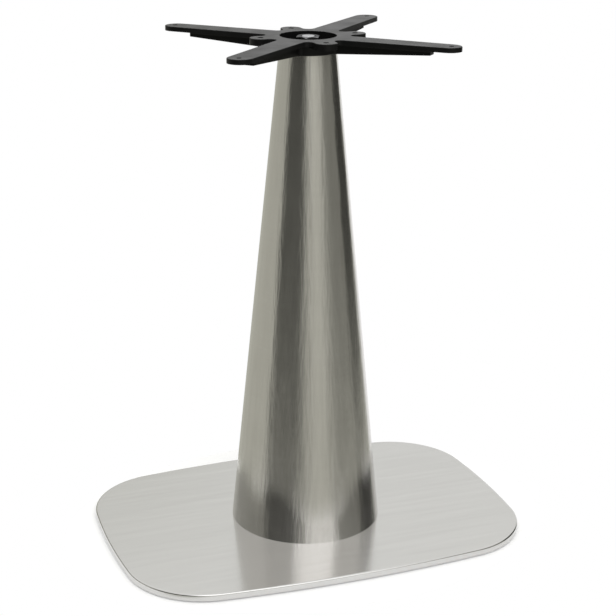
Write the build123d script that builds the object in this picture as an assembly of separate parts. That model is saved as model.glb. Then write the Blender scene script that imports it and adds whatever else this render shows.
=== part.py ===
from build123d import *
import math
import os

# Pedestal table base: a cast four-arm spider on a rolled stainless cone, which stands on a
# flat ballasted foot under a stamped stainless cover. One tie rod pulls the stack together.
# Millimetres. Z is up from the floor, X runs along the foot's long side, and the cone is on Z.

overall_height = 720.0

# Foot outline, seen from above
base_length = 600.0
base_width = 420.0
base_side_bow = 21.5            # how far a long side bulges past the chord of its corners
base_end_bow = 16.5             # the same for a short side
base_corner_radius = 115.0

# Cover sheet and ballast casting
cover_sheet = 1.5
cover_bend_radius = 1.0         # inside the bend where the top turns down into the rim
ballast_thickness = 8.0
ballast_side_gap = 0.5          # between the ballast and the inside of the rim
boss_wall = 5.0                 # around the nut recess
boss_web = 17.0                 # over the nut recess
boss_chamfer = 2.0
boss_clearance = 0.4            # radial, to the cover and the locating disc

# Glides pressed into the ballast's underside
glide_standoff = 2.0
glide_diameter = 30.0
glide_edge_chamfer = 0.8
glide_stem_diameter = 8.0
glide_stem_length = 5.5
glide_stem_clearance = 0.1      # radial
glide_stem_end_gap = 0.3
glide_inset_x = 85.0            # from the foot's end to the glide's axis
glide_inset_y = 70.0            # from the foot's side to the glide's axis

# Cone
cone_foot_diameter = 217.0
cone_top_diameter = 80.0
cone_sheet = 1.5
cone_fit_gap = 0.3              # radial, to what centres the cone at its foot and at its top
locating_disc_thickness = 5.0
locating_disc_chamfer = 0.8

# Tie rod with thin nuts and washers
rod_diameter = 20.0
rod_chamfer = 1.8
rod_past_nut = 0.3
rod_below_top = 0.4             # from the spider's top face down to the rod's end
rod_above_underside = 1.5       # from the ballast's underside up to the rod's other end
rod_hole_clearance = 0.5        # radial, in the castings and washers
thread_clearance = 0.05         # radial, in the nuts
nut_across_flats = 30.0
nut_height = 10.0
washer_diameter = 37.0
washer_thickness = 3.0
washer_chamfer = 0.5
nut_recess_margin = 6.5         # radial room around the lower washer

# Spider arms
arm_hole_spacing = 290.0        # square of the four table top screws
arm_hole_diameter = 7.0
arm_tip_overhang = 14.0         # from a screw hole to the arm's tip
arm_root_width = 41.0           # at the cone's axis
arm_tip_width = 34.0
arm_flange = 6.5
rib_width = 14.0
rib_end_setback = 26.5          # from a screw hole back to the rib's end
rib_end_depth = 13.5            # below the top face at the rib's outer end
rib_root_radius = 3.0
rib_hub_radius = 6.0            # between a rib and the hub, seen from below
rib_edge_radius = 1.0

# Spider hub and lugs
hub_overhang = 2.5              # past the cone's rim
hub_wall = 3.5
hub_floor = 7.8                 # from the cone's rim up to the pocket's floor
spigot_depth = 10.0
spigot_wall = 8.0
spigot_chamfer = 1.0
pocket_corner_radius = 3.0
lug_hole_circle = 136.0
lug_hole_diameter = 8.0
lug_width = 30.0
lug_depth = 9.0
web_radius = 8.0                # between an arm and a lug, seen from above
casting_edge_radius = 1.0

# Levels
rim_bottom = glide_standoff
ballast_top = rim_bottom + ballast_thickness
cover_top = ballast_top + cover_sheet
rod_bottom = rim_bottom + rod_above_underside
lower_nut_bottom = rod_bottom + rod_past_nut
lower_washer_bottom = lower_nut_bottom + nut_height
recess_ceiling = lower_washer_bottom + washer_thickness
boss_top = recess_ceiling + boss_web
rod_top = overall_height - rod_below_top
upper_nut_bottom = rod_top - rod_past_nut - nut_height
pocket_floor = upper_nut_bottom - washer_thickness
cone_top = pocket_floor - hub_floor
flange_bottom = overall_height - arm_flange
lug_bottom = overall_height - lug_depth

# Diameters, radii and slopes
rod_hole_diameter = rod_diameter + 2 * rod_hole_clearance
nut_recess_diameter = washer_diameter + 2 * nut_recess_margin
boss_diameter = nut_recess_diameter + 2 * boss_wall
boss_hole_diameter = boss_diameter + 2 * boss_clearance
cone_rise = cone_top - cover_top
cone_slope = (cone_foot_diameter - cone_top_diameter) / 2 / cone_rise
cone_wall = cone_sheet * math.hypot(1, cone_slope)      # the sheet, measured along a radius
cone_inner_foot = cone_foot_diameter - 2 * cone_wall
cone_inner_top = cone_top_diameter - 2 * cone_wall
hub_diameter = cone_top_diameter + 2 * hub_overhang
pocket_diameter = hub_diameter - 2 * hub_wall
spigot_diameter = cone_inner_top - 2 * cone_fit_gap
arm_hole_radius = arm_hole_spacing / math.sqrt(2)       # from the cone's axis
arm_tip_radius = arm_hole_radius + arm_tip_overhang
rib_end_radius = arm_hole_radius - rib_end_setback
lug_tip_radius = lug_hole_circle / 2 + lug_width / 2

half_turn = Rot(0, 0, 180)
quarter_turn = Rot(0, 0, 90)
to_diagonal = Rot(0, 0, 45)     # from the X axis to the first arm


def disc(diameter, bottom, top):
    return Pos(0, 0, bottom) * extrude(Circle(diameter / 2), top - bottom)


def lower_edges(shape):
    return shape.faces().sort_by(Axis.Z)[0].edges()


def upper_edges(shape):
    return shape.faces().sort_by(Axis.Z)[-1].edges()


def around(shape):
    """Four copies of a shape, a quarter turn apart about the cone's axis."""
    return [Rot(0, 0, 90 * k) * shape for k in range(4)]


def bow_radius(half_chord, bow):
    return (half_chord**2 + bow**2) / (2 * bow)


def foot_outline(inset):
    """The overlap of four large discs, one for each bowed side, with its corners rounded."""
    side_radius = bow_radius(base_length / 2 - base_end_bow, base_side_bow)
    end_radius = bow_radius(base_width / 2 - base_side_bow, base_end_bow)
    side = Pos(0, side_radius - base_width / 2) * Circle(side_radius - inset)
    end = Pos(end_radius - base_length / 2, 0) * Circle(end_radius - inset)
    outline = side & half_turn * side & end & half_turn * end
    return fillet(outline.vertices(), base_corner_radius - inset)


def foot_slab(inset, top, edge_radius):
    """A slab of the foot's outline, from the rim's lower edge up, with its upper edge rounded."""
    slab = Pos(0, 0, rim_bottom) * extrude(foot_outline(inset), top - rim_bottom)
    return fillet(upper_edges(slab), edge_radius)


def make_base_cover():
    outside = foot_slab(0, cover_top, cover_bend_radius + cover_sheet)
    inside = foot_slab(cover_sheet, ballast_top, cover_bend_radius)
    return outside - inside - disc(boss_hole_diameter, ballast_top, cover_top)


def make_ballast_plate():
    slab = foot_slab(cover_sheet + ballast_side_gap, ballast_top, cover_bend_radius + ballast_side_gap)
    boss = disc(boss_diameter, ballast_top, boss_top)
    boss = chamfer(upper_edges(boss), boss_chamfer)
    recess = disc(nut_recess_diameter, rim_bottom, recess_ceiling)
    bore = disc(rod_hole_diameter, recess_ceiling, boss_top)
    stem_hole = disc(
        glide_stem_diameter + 2 * glide_stem_clearance,
        rim_bottom,
        rim_bottom + glide_stem_length + glide_stem_end_gap,
    )
    return slab + boss - recess - bore - [place * stem_hole for place in glide_places().values()]


def glide_places():
    x = base_length / 2 - glide_inset_x
    y = base_width / 2 - glide_inset_y
    return {
        "front_left": Pos(-x, -y),
        "front_right": Pos(x, -y),
        "rear_left": Pos(-x, y),
        "rear_right": Pos(x, y),
    }


def make_glide():
    pad = disc(glide_diameter, 0, glide_standoff)
    pad = chamfer(lower_edges(pad), min(glide_edge_chamfer, glide_standoff / 2))
    return pad + disc(glide_stem_diameter, glide_standoff, glide_standoff + glide_stem_length)


def make_locating_disc():
    """Centred on the ballast's boss, it centres the cone's foot."""
    top = cover_top + locating_disc_thickness
    diameter = cone_inner_foot - 2 * (cone_slope * locating_disc_thickness + cone_fit_gap)
    plate = disc(diameter, cover_top, top)
    plate = chamfer(upper_edges(plate), locating_disc_chamfer)
    return plate - disc(boss_hole_diameter, cover_top, top)


def make_column_cone():
    middle = Pos(0, 0, (cover_top + cone_top) / 2)
    outside = Cone(cone_foot_diameter / 2, cone_top_diameter / 2, cone_rise)
    inside = Cone(cone_inner_foot / 2, cone_inner_top / 2, cone_rise)
    return middle * (outside - inside)


def make_tie_rod():
    rod = disc(rod_diameter, rod_bottom, rod_top)
    return chamfer(upper_edges(rod) + lower_edges(rod), rod_chamfer)


def make_nut(bottom):
    """A thin hexagon nut with its corners turned off at 30 degrees on both faces."""
    corner_radius = nut_across_flats / math.sqrt(3)
    corner_step = corner_radius - nut_across_flats / 2
    blank = extrude(RegularPolygon(nut_across_flats / 2, 6, major_radius=False), nut_height)
    turned = extrude(Circle(corner_radius), nut_height)
    turned = chamfer(
        upper_edges(turned) + lower_edges(turned),
        length=corner_step * math.tan(math.radians(30)),
        length2=corner_step,
        reference=turned.faces().filter_by(GeomType.CYLINDER)[0],
    )
    bore = disc(rod_diameter + 2 * thread_clearance, 0, nut_height)
    return Pos(0, 0, bottom) * ((blank & turned) - bore)


def make_washer(bottom):
    ring = disc(washer_diameter, bottom, bottom + washer_thickness)
    ring = chamfer(upper_edges(ring) + lower_edges(ring), washer_chamfer)
    return ring - disc(rod_hole_diameter, bottom, bottom + washer_thickness)


def arm_outline():
    """One arm along X, from the hub's middle to a round tip, with straight sides tangent to the tip."""
    root = arm_root_width / 2
    tip = arm_tip_width / 2
    tip_x = arm_tip_radius - tip
    lean = math.asin((root - tip) / tip_x)
    root_corner = Vector(root * math.sin(lean), root * math.cos(lean))
    tip_corner = Vector(tip_x + tip * math.sin(lean), tip * math.cos(lean))
    sides = Polyline(
        (root_corner.X, -root_corner.Y),
        (tip_corner.X, -tip_corner.Y),
        (tip_corner.X, tip_corner.Y),
        (root_corner.X, root_corner.Y),
        close=True,
    )
    return make_face(sides) + Circle(root) + Pos(tip_x, 0) * Circle(tip)


def spider_flange():
    """The flat top: four arms and two lug bars, with round webs in the corners."""
    lugs = SlotOverall(2 * lug_tip_radius, lug_width)
    outline = lugs + quarter_turn * lugs + around(to_diagonal * arm_outline())
    corner_x = lug_width / 2 + arm_root_width / math.sqrt(2)
    most = (lug_hole_circle / 2 - corner_x) * math.tan(math.radians(45 / 2))
    corners = outline.vertices().sort_by_distance((0, 0, 0))[:8]
    outline = fillet(corners, min(web_radius, 0.9 * most))
    return Pos(0, 0, flange_bottom) * extrude(outline, arm_flange)


def spider_ribs():
    """The hub's drum and the four ribs, which grow shallower towards the arms' tips."""
    bars = Rectangle(2 * rib_end_radius, rib_width)
    bars = to_diagonal * fillet(bars.vertices(), rib_edge_radius)
    plan = Circle(hub_diameter / 2) + bars + quarter_turn * bars
    corners = plan.vertices().sort_by_distance((0, 0, 0))[:8]
    plan = fillet(corners, rib_hub_radius)
    relief = Polyline(
        (hub_diameter / 2, cone_top),
        (rib_end_radius, cone_top),
        (rib_end_radius, overall_height - rib_end_depth),
        close=True,
    )
    relief = to_diagonal * extrude(Plane.XZ * make_face(relief), arm_root_width / 2, both=True)
    ribs = Pos(0, 0, cone_top) * extrude(plan, flange_bottom - cone_top) - around(relief)
    sloping = ribs.edges().filter_by_position(Axis.Z, cone_top, flange_bottom, (False, False))
    return fillet(sloping.group_by(SortBy.LENGTH)[-1], rib_edge_radius)


def spider_lugs():
    bar = extrude(SlotOverall(2 * lug_tip_radius, lug_width), lug_depth)
    bar = Pos(0, 0, lug_bottom) * bar
    return [bar, quarter_turn * bar]


def spider_pocket():
    pocket = disc(pocket_diameter, pocket_floor, overall_height)
    return fillet(lower_edges(pocket), pocket_corner_radius)


def spider_spigot():
    """A ring that enters the cone's top, under the pocket's floor."""
    bottom = cone_top - spigot_depth
    ring = disc(spigot_diameter, bottom, cone_top)
    ring = chamfer(lower_edges(ring), spigot_chamfer)
    return ring - disc(spigot_diameter - 2 * spigot_wall, bottom, cone_top)


def make_top_spider():
    body = spider_flange() + spider_ribs()
    roots = body.edges().filter_by_position(Axis.Z, flange_bottom, flange_bottom)
    roots = roots.filter_by(lambda edge: edge.is_interior)
    body = fillet(roots, min(rib_root_radius, (rib_end_depth - arm_flange) / 2))
    body += spider_lugs()
    body = fillet(upper_edges(body), casting_edge_radius)
    body = body - spider_pocket() + spider_spigot()
    rod_hole = disc(rod_hole_diameter, cone_top - spigot_depth, pocket_floor)
    arm_hole = to_diagonal * Pos(arm_hole_radius, 0) * disc(arm_hole_diameter, flange_bottom, overall_height)
    lug_hole = Pos(lug_hole_circle / 2, 0) * disc(lug_hole_diameter, lug_bottom, overall_height)
    return body - rod_hole - around(arm_hole) - around(lug_hole)


parts = {
    "top_spider": make_top_spider(),
    "column_cone": make_column_cone(),
    "locating_disc": make_locating_disc(),
    "base_cover": make_base_cover(),
    "ballast_plate": make_ballast_plate(),
    "tie_rod": make_tie_rod(),
    "upper_nut": make_nut(upper_nut_bottom),
    "upper_washer": make_washer(pocket_floor),
    "lower_nut": make_nut(lower_nut_bottom),
    "lower_washer": make_washer(lower_washer_bottom),
}
for name, place in glide_places().items():
    parts[f"glide_{name}"] = place * make_glide()

os.makedirs("parts", exist_ok=True)
for node, shape in parts.items():
    export_step(shape, f"parts/{node}.step")
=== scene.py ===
import bpy
import bmesh
import math
from mathutils import Matrix, Vector

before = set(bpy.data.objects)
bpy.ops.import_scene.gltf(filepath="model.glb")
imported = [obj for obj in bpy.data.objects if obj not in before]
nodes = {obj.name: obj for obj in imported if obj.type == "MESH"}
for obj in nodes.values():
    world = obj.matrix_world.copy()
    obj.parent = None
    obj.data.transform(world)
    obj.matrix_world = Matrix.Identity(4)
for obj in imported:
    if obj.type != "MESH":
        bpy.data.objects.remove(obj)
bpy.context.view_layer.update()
print("frame loaded:", ", ".join(sorted(nodes)))


# small helpers for node trees

def newMaterial(name):
    material = bpy.data.materials.new(name)
    material.use_nodes = True
    tree = material.node_tree
    return material, tree, tree.nodes["Principled BSDF"]


def addNode(tree, kind, **settings):
    node = tree.nodes.new(kind)
    for key, value in settings.items():
        setattr(node, key, value)
    return node


def mathNode(tree, operation, first, second=None):
    node = addNode(tree, "ShaderNodeMath", operation=operation)
    for slot, value in enumerate((first, second)):
        if value is None:
            continue
        if isinstance(value, (int, float)):
            node.inputs[slot].default_value = value
        else:
            tree.links.new(value, node.inputs[slot])
    return node.outputs[0]


def rangeNode(tree, value, fromMin, fromMax, toMin, toMax, smooth=False):
    node = addNode(tree, "ShaderNodeMapRange", interpolation_type="SMOOTHSTEP" if smooth else "LINEAR")
    tree.links.new(value, node.inputs["Value"])
    for key, number in zip(("From Min", "From Max", "To Min", "To Max"), (fromMin, fromMax, toMin, toMax)):
        node.inputs[key].default_value = number
    return node.outputs["Result"]


def mixColours(tree, factor, first, second):
    node = addNode(tree, "ShaderNodeMix", data_type="RGBA")
    for socket, value in ((node.inputs[0], factor), (node.inputs[6], first), (node.inputs[7], second)):
        if isinstance(value, (int, float)):
            socket.default_value = value
        elif isinstance(value, tuple):
            socket.default_value = (*value, 1)
        else:
            tree.links.new(value, socket)
    return node.outputs[2]


def noiseNode(tree, stretch, detail=2.0, roughness=0.5):
    place = addNode(tree, "ShaderNodeTexCoord")
    mapping = addNode(tree, "ShaderNodeMapping")
    mapping.inputs["Scale"].default_value = stretch
    tree.links.new(place.outputs["Object"], mapping.inputs["Vector"])
    noise = addNode(tree, "ShaderNodeTexNoise")
    noise.inputs["Scale"].default_value = 1.0
    noise.inputs["Detail"].default_value = detail
    noise.inputs["Roughness"].default_value = roughness
    tree.links.new(mapping.outputs["Vector"], noise.inputs["Vector"])
    return noise.outputs["Fac"]


def bumpNode(tree, shader, height, depth, strength):
    bump = addNode(tree, "ShaderNodeBump")
    bump.inputs["Strength"].default_value = strength
    bump.inputs["Distance"].default_value = depth
    tree.links.new(height, bump.inputs["Height"])
    tree.links.new(bump.outputs["Normal"], shader.inputs["Normal"])


noiseSpan = (0.3, 0.7)      # most of a noise texture's values lie here


def dress(material, *names):
    for name in names:
        nodes[name].data.materials.clear()
        nodes[name].data.materials.append(material)


# brushed stainless sheet: the grain is drawn out along one direction, and gloss spreads across it

coneSteel = {
    "light": (0.66, 0.645, 0.62),
    "dark": (0.60, 0.585, 0.56),
    "roughness": (0.18, 0.22),
    "grain": (5.0, 5.0, 1500.0),        # around the cone
    "cloud": (7.0, 7.0, 16.0),
    "streak": (130.0, 130.0, 1.2),      # up the cone, left by rolling the sheet
    "streakDepth": 6.0,
    "anisotropic": 0.8,
    "tangentAxis": "Z",
    "tangentTurn": 0.25,
    "bump": 0.04,
}
coverSteel = {
    "light": (0.67, 0.665, 0.655),
    "dark": (0.62, 0.615, 0.605),
    "roughness": (0.16, 0.20),
    "grain": (5.0, 1500.0, 1500.0),     # along the foot's long side
    "cloud": (5.0, 16.0, 5.0),
    "streak": (4.0, 90.0, 4.0),
    "streakDepth": 0.3,
    "anisotropic": 0.7,
    "tangentAxis": "X",
    "tangentTurn": 0.0,
    "bump": 0.04,
}
steelMix = {
    "grain": 0.4,
    "cloud": 0.2,
    "streak": 0.4,
    "toneSpan": (0.35, 0.65),
    "bumpDepth": 0.0002,
}


def makeBrushedSteel(name, values):
    material, tree, shader = newMaterial(name)
    grain = noiseNode(tree, values["grain"], detail=3.0, roughness=0.6)
    cloud = noiseNode(tree, values["cloud"], detail=2.0)
    streak = noiseNode(tree, values["streak"], detail=3.0, roughness=0.6)
    tone = mathNode(tree, "ADD", mathNode(tree, "MULTIPLY", grain, steelMix["grain"]),
                    mathNode(tree, "MULTIPLY", cloud, steelMix["cloud"]))
    tone = mathNode(tree, "ADD", tone, mathNode(tree, "MULTIPLY", streak, steelMix["streak"]))
    spread = rangeNode(tree, tone, *steelMix["toneSpan"], 0.0, 1.0)
    tree.links.new(mixColours(tree, spread, values["dark"], values["light"]), shader.inputs["Base Color"])
    tree.links.new(rangeNode(tree, tone, *noiseSpan, *values["roughness"]), shader.inputs["Roughness"])
    shader.inputs["Metallic"].default_value = 1.0
    shader.inputs["Anisotropic"].default_value = values["anisotropic"]
    shader.inputs["Anisotropic Rotation"].default_value = values["tangentTurn"]
    tangent = addNode(tree, "ShaderNodeTangent", direction_type="RADIAL", axis=values["tangentAxis"])
    tree.links.new(tangent.outputs[0], shader.inputs["Tangent"])
    ridges = mathNode(tree, "MULTIPLY", streak, values["streakDepth"] / values["bump"])
    bumpNode(tree, shader, mathNode(tree, "ADD", grain, ridges), steelMix["bumpDepth"], values["bump"])
    return material


dress(makeBrushedSteel("coneBrushedSteel", coneSteel), "column_cone")
dress(makeBrushedSteel("coverBrushedSteel", coverSteel), "base_cover")
print("brushed steel: cone and foot cover")


# black powder coat on the casting

spiderCoat = {
    "colour": (0.004, 0.004, 0.0041),
    "worn": (0.008, 0.008, 0.0081),
    "roughness": (0.33, 0.40),
    "ior": 1.26,
    "peel": 620.0,
    "cloud": 38.0,
    "bump": 0.25,
    "bumpDepth": 0.0003,
}


def makePowderCoat(name, values):
    material, tree, shader = newMaterial(name)
    peel = noiseNode(tree, (values["peel"],) * 3, detail=2.0)
    cloud = noiseNode(tree, (values["cloud"],) * 3, detail=3.0)
    tree.links.new(mixColours(tree, cloud, values["colour"], values["worn"]), shader.inputs["Base Color"])
    tree.links.new(rangeNode(tree, cloud, *noiseSpan, *values["roughness"]), shader.inputs["Roughness"])
    shader.inputs["IOR"].default_value = values["ior"]
    bumpNode(tree, shader, peel, values["bumpDepth"], values["bump"])
    return material


dress(makePowderCoat("spiderPowderCoat", spiderCoat), "top_spider")
print("powder coat: spider")


# plated fasteners and cut steel

turnedGrain = (260.0, 260.0, 40.0)
brightZinc = {
    "light": (0.68, 0.69, 0.71),
    "dark": (0.56, 0.57, 0.59),
    "roughness": (0.18, 0.26),
    "grain": turnedGrain,
    "edgeTint": 0.7,
}
# the same plated zinc as the rod, given a darker colour, on the nuts and washers
darkerZinc = {
    "light": (0.36, 0.36, 0.37),
    "dark": (0.28, 0.28, 0.29),
    "roughness": (0.20, 0.28),
    "grain": turnedGrain,
    "edgeTint": 0.25,
}
cutSteel = {
    "light": (0.45, 0.45, 0.45),
    "dark": (0.34, 0.34, 0.35),
    "roughness": (0.40, 0.55),
    "grain": (120.0, 20.0, 120.0),
    "edgeTint": 1.0,
}
platedBump = {"depth": 0.0002, "strength": 0.1}


def makePlated(name, values):
    material, tree, shader = newMaterial(name)
    grain = noiseNode(tree, values["grain"], detail=3.0)
    tree.links.new(mixColours(tree, grain, values["dark"], values["light"]), shader.inputs["Base Color"])
    tree.links.new(rangeNode(tree, grain, *noiseSpan, *values["roughness"]), shader.inputs["Roughness"])
    shader.inputs["Metallic"].default_value = 1.0
    shader.inputs["Specular Tint"].default_value = (*(values["edgeTint"],) * 3, 1)
    bumpNode(tree, shader, grain, platedBump["depth"], platedBump["strength"])
    return material


dress(makePlated("brightZinc", brightZinc), "tie_rod")
dress(makePlated("darkerZinc", darkerZinc), "upper_nut", "upper_washer", "lower_nut", "lower_washer")
dress(makePlated("cutSteel", cutSteel), "locating_disc")
print("fasteners and locating disc dressed")


# raw iron under the foot, and the glides

castIron = {
    "light": (0.075, 0.072, 0.070),
    "dark": (0.035, 0.034, 0.033),
    "roughness": (0.65, 0.85),
    "metallic": 0.4,
    "grain": 240.0,
    "bump": 0.5,
    "bumpDepth": 0.0006,
}
glidePlastic = {
    "light": (0.05, 0.05, 0.05),
    "dark": (0.03, 0.03, 0.03),
    "roughness": (0.50, 0.65),
    "metallic": 0.0,
    "grain": 500.0,
    "bump": 0.2,
    "bumpDepth": 0.0006,
}


def makeRough(name, values):
    material, tree, shader = newMaterial(name)
    grain = noiseNode(tree, (values["grain"],) * 3, detail=5.0, roughness=0.65)
    tree.links.new(mixColours(tree, grain, values["dark"], values["light"]), shader.inputs["Base Color"])
    tree.links.new(rangeNode(tree, grain, *noiseSpan, *values["roughness"]), shader.inputs["Roughness"])
    shader.inputs["Metallic"].default_value = values["metallic"]
    bumpNode(tree, shader, grain, values["bumpDepth"], values["bump"])
    return material


dress(makeRough("castIron", castIron), "ballast_plate")
dress(makeRough("glidePlastic", glidePlastic), *(name for name in nodes if name.startswith("glide_")))
print("ballast and glides dressed")


# smooth curved faces, crisp edges

sharpAngle = 32     # degrees
for piece in nodes.values():
    piece.data.polygons.foreach_set("use_smooth", [True] * len(piece.data.polygons))
    piece.data.set_sharp_from_angle(angle=math.radians(sharpAngle))
print("faces smoothed")


# studio: a pale wall and ceiling, darker gaps in the wall, two soft panels in front and a white
# backdrop behind; angles are in degrees, azimuth from the front, pairs are the ends of a soft edge

white = (1.0, 1.0, 1.0)
nearFloor = (-19, -14)
studio = {
    "wall": (0.54, 0.54, 0.48),
    "ceiling": (0.98, 0.98, 0.96),
    "ceilingFrom": (21, 30),
    "gaps": [       # azimuth, half width, soft edge, share of the wall's light, start and top
        (-42, 10, 28, 0.55, nearFloor, (20, 28)),
        (-60, 18, 20, 0.12, nearFloor, (24, 37)),
        (70, 18, 44, 0.4, nearFloor, (21, 30)),
        (98, 12, 14, 0.08, nearFloor, (24, 37)),
        (-125, 32, 15, 0.5, (0, 8), (20, 28)),
    ],
    "panels": [     # azimuth, half width, soft edge, level and start
        (5, 16, 14, 1.9, (10, 22)),
        (-5, 23, 17, 1.75, (22, 30)),
    ],
    "backdrop": (145, 12, 14),      # azimuth, half width and soft edge
    "backdropTop": (18, 28),
}


def sectorMask(tree, turn, middle, halfWidth, soft):
    apart = mathNode(tree, "COSINE", mathNode(tree, "SUBTRACT", turn, math.radians(middle)))
    outer, inner = (math.cos(math.radians(angle)) for angle in (halfWidth + soft, halfWidth))
    return rangeNode(tree, apart, outer, inner, 0.0, 1.0, smooth=True)


def riseMask(tree, rise, span, below=0.0, above=1.0):
    start, end = (math.radians(angle) for angle in span)
    return rangeNode(tree, rise, start, end, below, above, smooth=True)


def makeStudio(values):
    world = bpy.data.worlds.new("studioWorld")
    bpy.context.scene.world = world
    world.use_nodes = True
    tree = world.node_tree
    tree.nodes.clear()
    place = addNode(tree, "ShaderNodeTexCoord")
    axes = addNode(tree, "ShaderNodeSeparateXYZ")
    tree.links.new(place.outputs["Generated"], axes.inputs[0])
    minusY = mathNode(tree, "MULTIPLY", axes.outputs["Y"], -1.0)
    turn = mathNode(tree, "ARCTAN2", axes.outputs["X"], minusY)
    rise = mathNode(tree, "ARCSINE", axes.outputs["Z"])
    colour = mixColours(tree, riseMask(tree, rise, values["ceilingFrom"]), values["wall"], values["ceiling"])
    for middle, halfWidth, soft, share, start, top in values["gaps"]:
        mask = mathNode(tree, "MULTIPLY", riseMask(tree, rise, start), riseMask(tree, rise, top, 1.0, 0.0))
        mask = mathNode(tree, "MULTIPLY", mask, sectorMask(tree, turn, middle, halfWidth, soft))
        colour = mixColours(tree, mask, colour, tuple(share * part for part in values["wall"]))
    for middle, halfWidth, soft, level, start in values["panels"]:
        mask = mathNode(tree, "MULTIPLY", sectorMask(tree, turn, middle, halfWidth, soft),
                        riseMask(tree, rise, start))
        colour = mixColours(tree, mask, colour, (level,) * 3)
    # the camera sees white all round, and metal sees it where the backdrop stands
    rays = addNode(tree, "ShaderNodeLightPath")
    mirrored = mathNode(tree, "MAXIMUM", rays.outputs["Is Glossy Ray"], rays.outputs["Is Transmission Ray"])
    backdrop = mathNode(tree, "MULTIPLY", sectorMask(tree, turn, *values["backdrop"]),
                        riseMask(tree, rise, values["backdropTop"], 1.0, 0.0))
    mirrored = mathNode(tree, "MULTIPLY", mirrored, backdrop)
    seen = mathNode(tree, "MAXIMUM", rays.outputs["Is Camera Ray"], mirrored)
    background = addNode(tree, "ShaderNodeBackground")
    tree.links.new(mixColours(tree, seen, colour, white), background.inputs["Color"])
    output = addNode(tree, "ShaderNodeOutputWorld")
    tree.links.new(background.outputs[0], output.inputs[0])


makeStudio(studio)
print("studio lit")


# oval pale floor, brought up to white for the camera, metal and glass alike

floorLook = {
    "halfLength": 0.36,
    "halfWidth": 0.27,
    "segments": 96,
    "drop": 0.0004,         # just under the glides
    "colour": (0.90, 0.90, 0.90),
    "speck": 2.0,
    "speckShade": 0.97,
    "roughness": 0.9,
    "glow": 0.24,
}


def makeFloor(values):
    mesh = bpy.data.meshes.new("studioFloor")
    shape = bmesh.new()
    bmesh.ops.create_circle(shape, cap_ends=True, segments=values["segments"], radius=1.0)
    bmesh.ops.scale(shape, vec=(values["halfLength"], values["halfWidth"], 1.0), verts=shape.verts)
    shape.to_mesh(mesh)
    shape.free()
    floor = bpy.data.objects.new("studioFloor", mesh)
    bpy.context.scene.collection.objects.link(floor)
    floor.location.z = -values["drop"]
    material, tree, shader = newMaterial("studioFloor")
    speck = noiseNode(tree, (values["speck"],) * 3)
    shade = tuple(values["speckShade"] * part for part in values["colour"])
    tree.links.new(mixColours(tree, speck, values["colour"], shade), shader.inputs["Base Color"])
    shader.inputs["Roughness"].default_value = values["roughness"]
    shader.inputs["Specular IOR Level"].default_value = 0.0
    rays = addNode(tree, "ShaderNodeLightPath")
    seen = mathNode(tree, "MAXIMUM", rays.outputs["Is Camera Ray"], rays.outputs["Is Glossy Ray"])
    seen = mathNode(tree, "MAXIMUM", seen, rays.outputs["Is Transmission Ray"])
    shader.inputs["Emission Color"].default_value = (*white, 1)
    tree.links.new(mathNode(tree, "MULTIPLY", seen, values["glow"]), shader.inputs["Emission Strength"])
    mesh.materials.append(material)


makeFloor(floorLook)
print("floor laid")


# camera at the photo's viewing angle

view = {
    "distance": 2.0996,     # from the cone's axis, level
    "height": 1.0429,
    "azimuth": -20.37,
    "turn": 0.06,
    "pitch": 18.73,
    "roll": 0.38,
    "lens": 90.54,
    "sensor": 36.0,
    "clip": (0.05, 60.0),
}


def makeCamera(values):
    data = bpy.data.cameras.new("photoCamera")
    data.sensor_width = values["sensor"]
    data.lens = values["lens"]
    data.clip_start, data.clip_end = values["clip"]
    camera = bpy.data.objects.new("photoCamera", data)
    bpy.context.scene.collection.objects.link(camera)
    around = math.radians(values["azimuth"])
    heading = around - math.radians(values["turn"])
    pitch, roll = math.radians(values["pitch"]), math.radians(values["roll"])
    level = Vector((math.cos(heading), math.sin(heading), 0))
    ahead = Vector((-math.sin(heading), math.cos(heading), 0)) * math.cos(pitch)
    ahead.z = -math.sin(pitch)
    up = level.cross(ahead)
    right = math.cos(roll) * level + math.sin(roll) * up
    up = math.cos(roll) * up - math.sin(roll) * level
    place = Vector((math.sin(around), -math.cos(around), 0)) * values["distance"]
    place.z = values["height"]
    matrix = Matrix((right, up, -ahead)).transposed().to_4x4()
    matrix.translation = place
    camera.matrix_world = matrix
    bpy.context.scene.camera = camera


makeCamera(view)
bpy.context.scene.view_settings.view_transform = "Standard"
print("camera placed")
